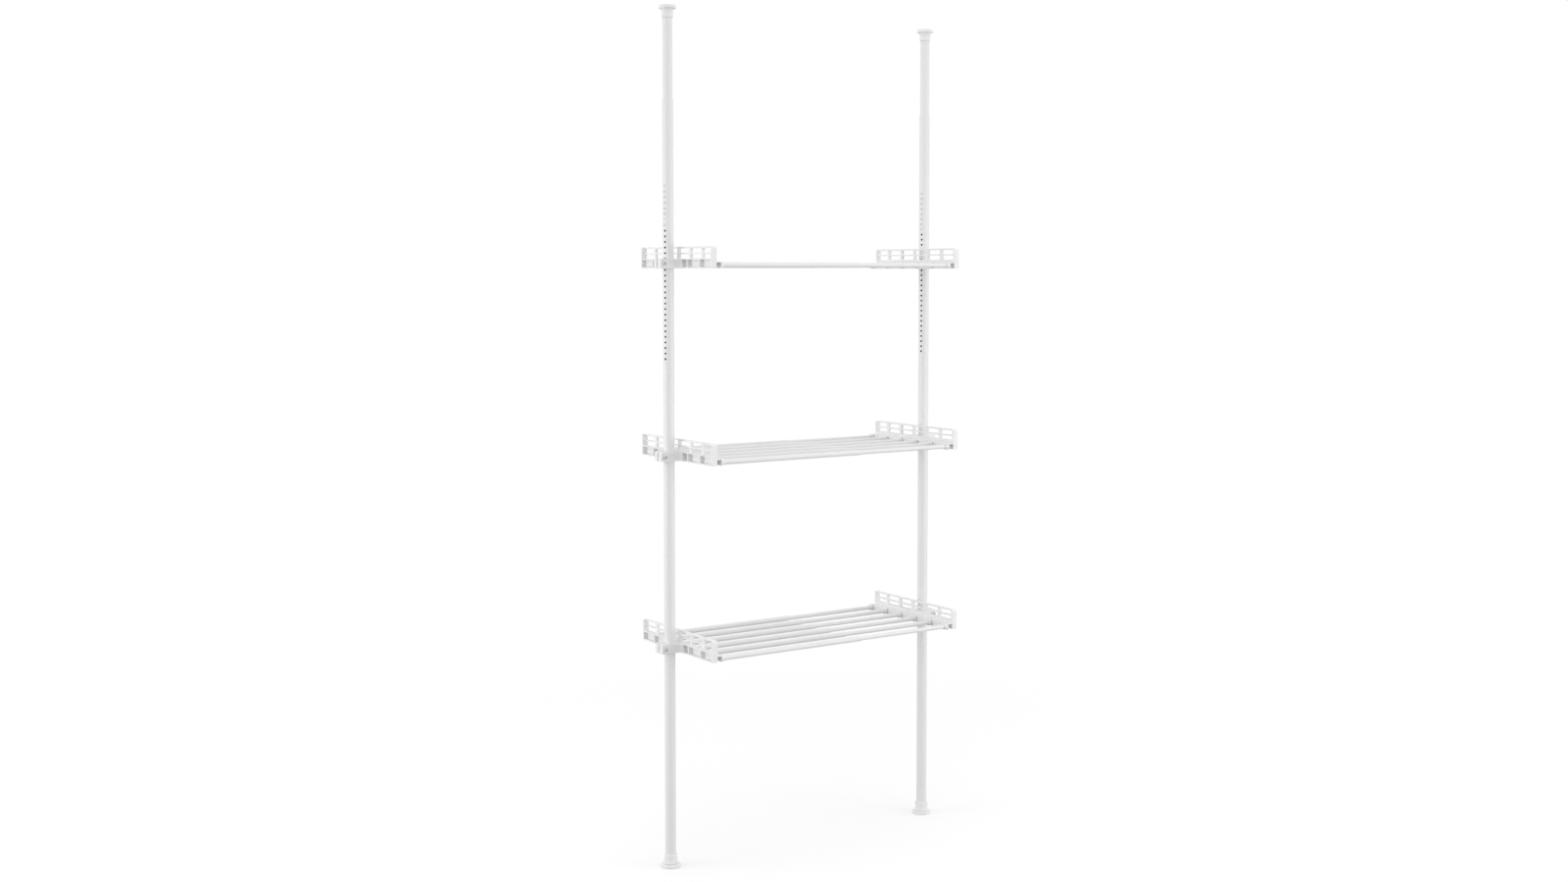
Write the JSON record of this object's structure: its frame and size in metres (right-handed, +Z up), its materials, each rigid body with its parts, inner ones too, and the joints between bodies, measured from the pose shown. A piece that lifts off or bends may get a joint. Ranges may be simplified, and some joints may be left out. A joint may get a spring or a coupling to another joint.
{
  "type": "tension pole shelf unit",
  "caption": "Floor-to-ceiling tension pole shelf unit: telescoping poles with screw feet carry height-adjustable shelves of telescoping tubes between fenced end frames.",
  "frame": {"origin": "on the floor, midway between the two poles' axes", "axes": "+X to the right along the shelves, -Y to the front, +Z up along the poles"},
  "size_m": [1.0096, 0.4, 2.5],
  "materials": {
    "painted_steel": "white powder coat, satin",
    "white_plastic": "fine moulded satin",
    "zinc_steel": "zinc plated"
  },
  "bodies": {
    "left_pole": {"left_lower_pole": "painted_steel"},
    "left_upper": {"left_upper_pole": "painted_steel", "left_ceiling_cap": "white_plastic"},
    "left_clip": {"left_snap_clip": "zinc_steel"},
    "left_jack": {"left_foot_adjuster": "white_plastic"},
    "left_base": {"left_foot": "white_plastic"},
    "right_pole": {"right_lower_pole": "painted_steel"},
    "right_upper": {"right_upper_pole": "painted_steel", "right_ceiling_cap": "white_plastic"},
    "right_clip": {"right_snap_clip": "zinc_steel"},
    "right_jack": {"right_foot_adjuster": "white_plastic"},
    "right_base": {"right_foot": "white_plastic"},
    "bottom_shelf_left": {"bottom_shelf_left_frame": "white_plastic", "bottom_shelf_outer_tube_1": "painted_steel", "bottom_shelf_outer_tube_2": "painted_steel", "bottom_shelf_outer_tube_3": "painted_steel", "bottom_shelf_outer_tube_4": "painted_steel", "bottom_shelf_outer_tube_5": "painted_steel", "bottom_shelf_outer_tube_6": "painted_steel"},
    "bottom_shelf_left_screw": {"bottom_shelf_left_bolt": "zinc_steel"},
    "bottom_shelf_right": {"bottom_shelf_right_frame": "white_plastic", "bottom_shelf_inner_tube_1": "painted_steel", "bottom_shelf_inner_tube_2": "painted_steel", "bottom_shelf_inner_tube_3": "painted_steel", "bottom_shelf_inner_tube_4": "painted_steel", "bottom_shelf_inner_tube_5": "painted_steel", "bottom_shelf_inner_tube_6": "painted_steel"},
    "bottom_shelf_right_screw": {"bottom_shelf_right_bolt": "zinc_steel"},
    "middle_shelf_left": {"middle_shelf_left_frame": "white_plastic", "middle_shelf_outer_tube_1": "painted_steel", "middle_shelf_outer_tube_2": "painted_steel", "middle_shelf_outer_tube_3": "painted_steel", "middle_shelf_outer_tube_4": "painted_steel", "middle_shelf_outer_tube_5": "painted_steel", "middle_shelf_outer_tube_6": "painted_steel"},
    "middle_shelf_left_screw": {"middle_shelf_left_bolt": "zinc_steel"},
    "middle_shelf_right": {"middle_shelf_right_frame": "white_plastic", "middle_shelf_inner_tube_1": "painted_steel", "middle_shelf_inner_tube_2": "painted_steel", "middle_shelf_inner_tube_3": "painted_steel", "middle_shelf_inner_tube_4": "painted_steel", "middle_shelf_inner_tube_5": "painted_steel", "middle_shelf_inner_tube_6": "painted_steel"},
    "middle_shelf_right_screw": {"middle_shelf_right_bolt": "zinc_steel"},
    "top_shelf_left": {"top_shelf_left_frame": "white_plastic", "top_shelf_outer_tube_1": "painted_steel", "top_shelf_outer_tube_2": "painted_steel", "top_shelf_outer_tube_3": "painted_steel", "top_shelf_outer_tube_4": "painted_steel", "top_shelf_outer_tube_5": "painted_steel", "top_shelf_outer_tube_6": "painted_steel"},
    "top_shelf_left_screw": {"top_shelf_left_bolt": "zinc_steel"},
    "top_shelf_right": {"top_shelf_right_frame": "white_plastic", "top_shelf_inner_tube_1": "painted_steel", "top_shelf_inner_tube_2": "painted_steel", "top_shelf_inner_tube_3": "painted_steel", "top_shelf_inner_tube_4": "painted_steel", "top_shelf_inner_tube_5": "painted_steel", "top_shelf_inner_tube_6": "painted_steel"},
    "top_shelf_right_screw": {"top_shelf_right_bolt": "zinc_steel"}
  },
  "joints": [
    {"name": "shelf_width", "type": "slide", "parent": "left_pole", "child": "right_pole", "axis": [1, 0, 0], "range_m": [-0.3, 0.1]},
    {"name": "left_pole_extension", "type": "slide", "parent": "left_pole", "child": "left_upper", "axis": [0, 0, 1], "range_m": [-0.208, 0.096]},
    {"name": "left_snap_button", "type": "slide", "parent": "left_upper", "child": "left_clip", "axis": [-0.9205, -0.3907, 0], "range_m": [0, 0.0018], "stiffness_N_per_m": 300, "springref_m": 0.005},
    {"name": "left_foot_turn", "type": "hinge", "parent": "left_pole", "child": "left_jack", "pos_m": [-0.4675, 0, 0.0226], "axis": [0, 0, 1], "range_deg": [0, 3600]},
    {"name": "left_foot_travel", "type": "slide", "parent": "left_pole", "child": "left_base", "axis": [0, 0, -1], "range_m": [0, 0.03]},
    {"name": "right_pole_extension", "type": "slide", "parent": "right_pole", "child": "right_upper", "axis": [0, 0, 1], "range_m": [-0.208, 0.096]},
    {"name": "right_snap_button", "type": "slide", "parent": "right_upper", "child": "right_clip", "axis": [-0.9205, -0.3907, 0], "range_m": [0, 0.0018], "stiffness_N_per_m": 300, "springref_m": 0.005},
    {"name": "right_foot_turn", "type": "hinge", "parent": "right_pole", "child": "right_jack", "pos_m": [0.4675, 0, 0.0226], "axis": [0, 0, 1], "range_deg": [0, 3600]},
    {"name": "right_foot_travel", "type": "slide", "parent": "right_pole", "child": "right_base", "axis": [0, 0, -1], "range_m": [0, 0.03]},
    {"name": "bottom_shelf_height", "type": "slide", "parent": "left_pole", "child": "bottom_shelf_left", "axis": [0, 0, 1], "range_m": [-0.58, 0.24]},
    {"name": "bottom_shelf_left_bolt_turn", "type": "hinge", "parent": "bottom_shelf_left", "child": "bottom_shelf_left_screw", "pos_m": [-0.4945, 0, 0.64975], "axis": [0, 1, 0], "range_deg": [-1080, 0]},
    {"name": "bottom_shelf_height_right", "type": "slide", "parent": "right_pole", "child": "bottom_shelf_right", "axis": [0, 0, 1], "range_m": [-0.58, 0.24]},
    {"name": "bottom_shelf_right_bolt_turn", "type": "hinge", "parent": "bottom_shelf_right", "child": "bottom_shelf_right_screw", "pos_m": [0.4945, 0, 0.64975], "axis": [0, 1, 0], "range_deg": [-1080, 0]},
    {"name": "middle_shelf_height", "type": "slide", "parent": "left_pole", "child": "middle_shelf_left", "axis": [0, 0, 1], "range_m": [-0.24, 0.24]},
    {"name": "middle_shelf_left_bolt_turn", "type": "hinge", "parent": "middle_shelf_left", "child": "middle_shelf_left_screw", "pos_m": [-0.4945, 0, 1.20975], "axis": [0, 1, 0], "range_deg": [-1080, 0]},
    {"name": "middle_shelf_height_right", "type": "slide", "parent": "right_pole", "child": "middle_shelf_right", "axis": [0, 0, 1], "range_m": [-0.24, 0.24]},
    {"name": "middle_shelf_right_bolt_turn", "type": "hinge", "parent": "middle_shelf_right", "child": "middle_shelf_right_screw", "pos_m": [0.4945, 0, 1.20975], "axis": [0, 1, 0], "range_deg": [-1080, 0]},
    {"name": "top_shelf_height", "type": "slide", "parent": "left_pole", "child": "top_shelf_left", "axis": [0, 0, 1], "range_m": [-0.24, 0.4]},
    {"name": "top_shelf_left_bolt_turn", "type": "hinge", "parent": "top_shelf_left", "child": "top_shelf_left_screw", "pos_m": [-0.4945, 0, 1.76575], "axis": [0, 1, 0], "range_deg": [-1080, 0]},
    {"name": "top_shelf_height_right", "type": "slide", "parent": "right_pole", "child": "top_shelf_right", "axis": [0, 0, 1], "range_m": [-0.24, 0.4]},
    {"name": "top_shelf_right_bolt_turn", "type": "hinge", "parent": "top_shelf_right", "child": "top_shelf_right_screw", "pos_m": [0.4945, 0, 1.76575], "axis": [0, 1, 0], "range_deg": [-1080, 0]}
  ],
  "couplings": [
    {"joint": "left_foot_travel", "follows": "left_foot_turn", "m_per_rad": 0.0004774},
    {"joint": "right_foot_travel", "follows": "right_foot_turn", "m_per_rad": 0.0004774},
    {"joint": "bottom_shelf_height_right", "follows": "bottom_shelf_height", "ratio": 1},
    {"joint": "middle_shelf_height_right", "follows": "middle_shelf_height", "ratio": 1},
    {"joint": "top_shelf_height_right", "follows": "top_shelf_height", "ratio": 1}
  ]
}
